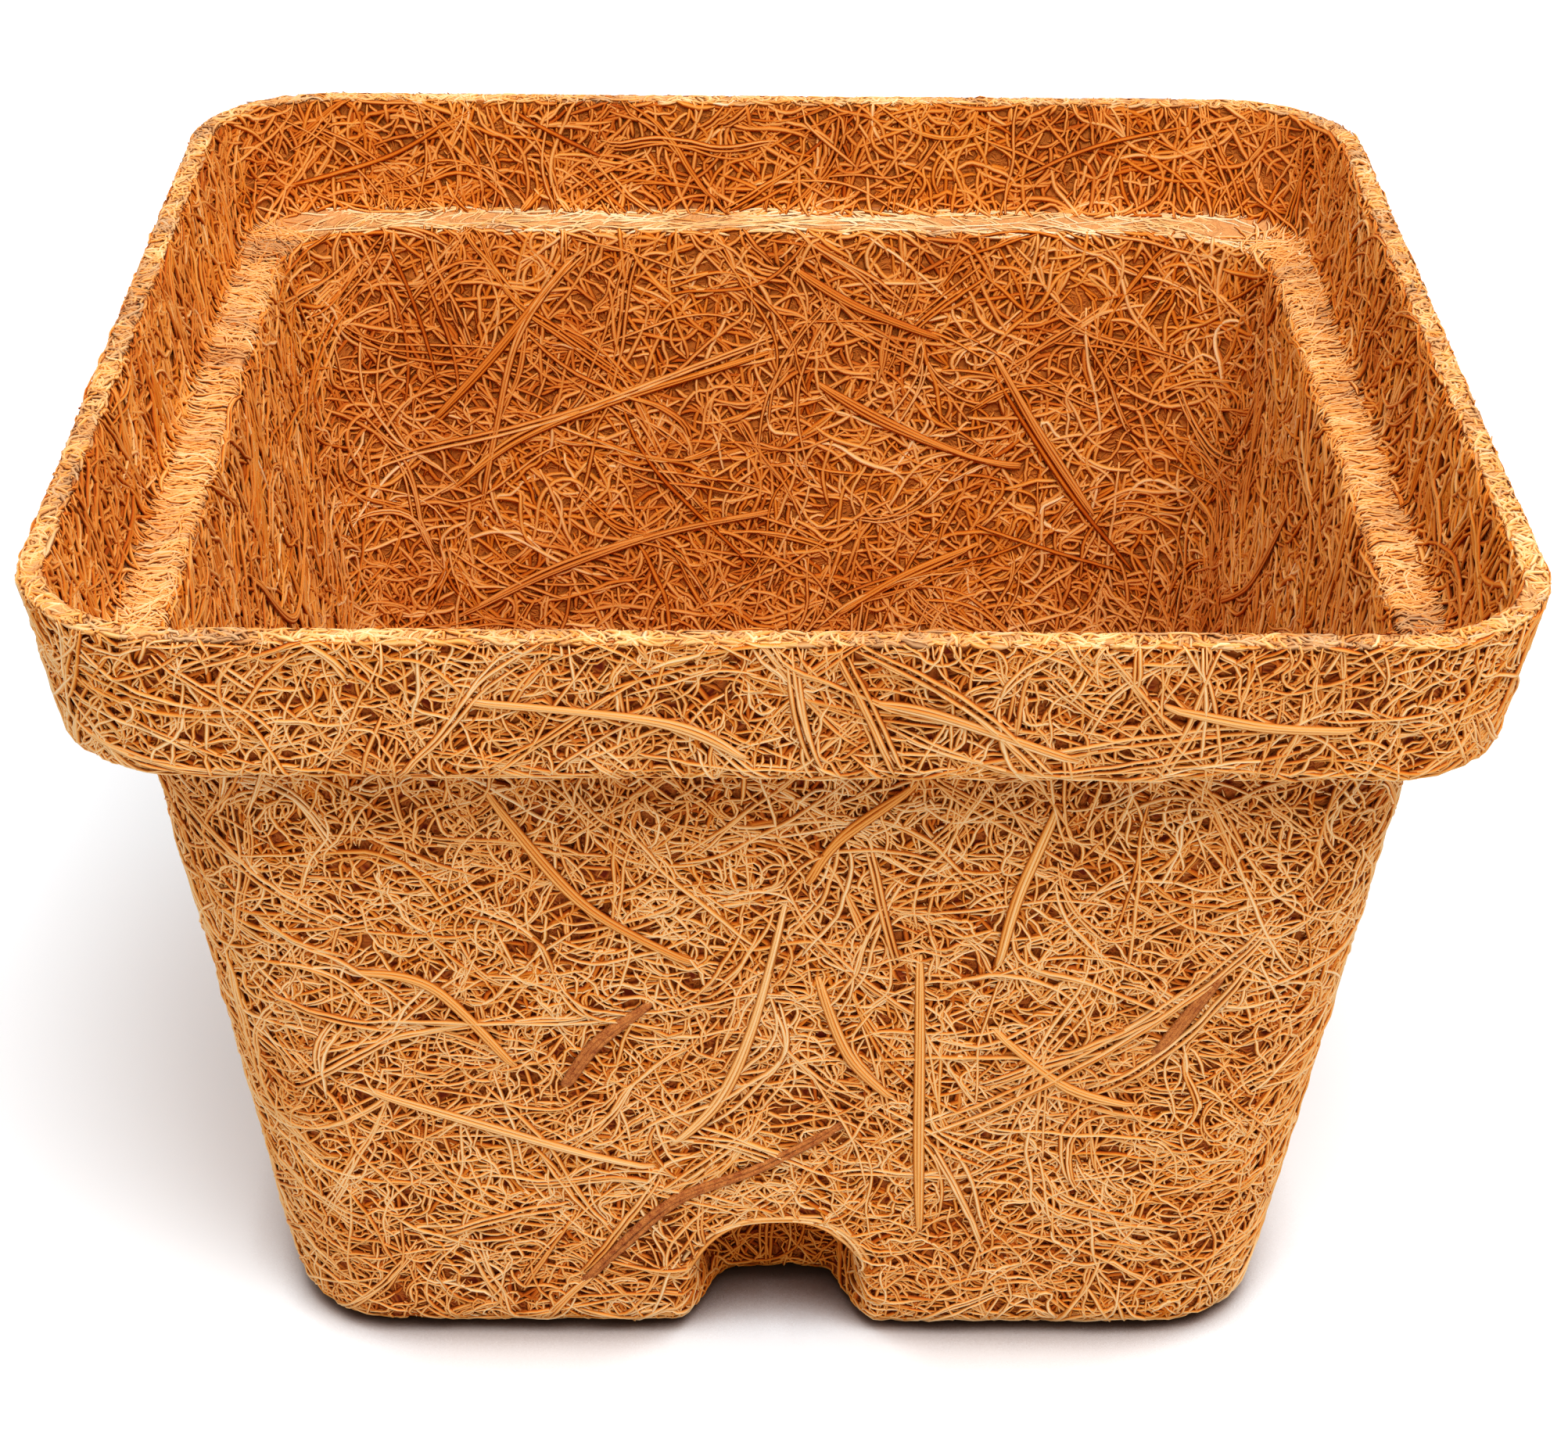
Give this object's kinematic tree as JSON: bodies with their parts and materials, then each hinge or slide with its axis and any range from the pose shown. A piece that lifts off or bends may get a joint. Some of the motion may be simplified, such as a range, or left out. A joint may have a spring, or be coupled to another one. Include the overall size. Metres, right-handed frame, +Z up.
{
  "type": "coir plant pot",
  "caption": "Square tapered plant pot pressed from coconut-fibre felt, with a stepped collar, an inner ledge and a drain notch in the foot of each side.",
  "frame": {"origin": "on the floor, under the middle of the pot", "axes": "+Z up, out of the pot's mouth; -Y towards the viewer of the picture; +X to the viewer's right"},
  "size_m": [0.1, 0.1, 0.0672],
  "materials": {
    "felt": "matte pressed coconut-fibre felt bonded with latex",
    "strand": "dry coconut fibre with a faint sheen along its length",
    "bark": "dull dark husk"
  },
  "bodies": {
    "root": {"pot_shell": "felt", "front_wall_strand_1": "strand", "front_wall_strand_2": "strand", "front_wall_strand_3": "strand", "front_wall_strand_4": "strand", "front_wall_strand_5": "strand", "front_wall_strand_6": "strand", "front_wall_strand_7": "strand", "front_wall_strand_8": "strand", "front_wall_strand_9": "strand", "right_wall_strand_1": "strand", "right_wall_strand_2": "strand", "right_wall_strand_3": "strand", "right_wall_strand_4": "strand", "right_wall_strand_5": "strand", "back_wall_strand_1": "strand", "back_wall_strand_2": "strand", "back_wall_strand_3": "strand", "back_wall_strand_4": "strand", "back_wall_strand_5": "strand", "left_wall_strand_1": "strand", "left_wall_strand_2": "strand", "left_wall_strand_3": "strand", "left_wall_strand_4": "strand", "left_wall_strand_5": "strand", "front_collar_strand_1": "strand", "front_collar_strand_2": "strand", "front_collar_strand_3": "strand", "right_collar_strand_1": "strand", "back_collar_strand_1": "strand", "back_collar_strand_2": "strand", "left_collar_strand_1": "strand", "front_inside_strand_1": "strand", "right_inside_strand_1": "strand", "right_inside_strand_2": "strand", "back_inside_strand_1": "strand", "back_inside_strand_2": "strand", "back_inside_strand_3": "strand", "back_inside_strand_4": "strand", "back_inside_strand_5": "strand", "back_inside_strand_6": "strand", "back_inside_strand_7": "strand", "left_inside_strand_1": "strand", "left_inside_strand_2": "strand", "front_bark_sliver_1": "bark", "front_bark_sliver_2": "bark", "front_bark_sliver_3": "bark", "back_bark_sliver_1": "bark"}
  },
  "joints": []
}
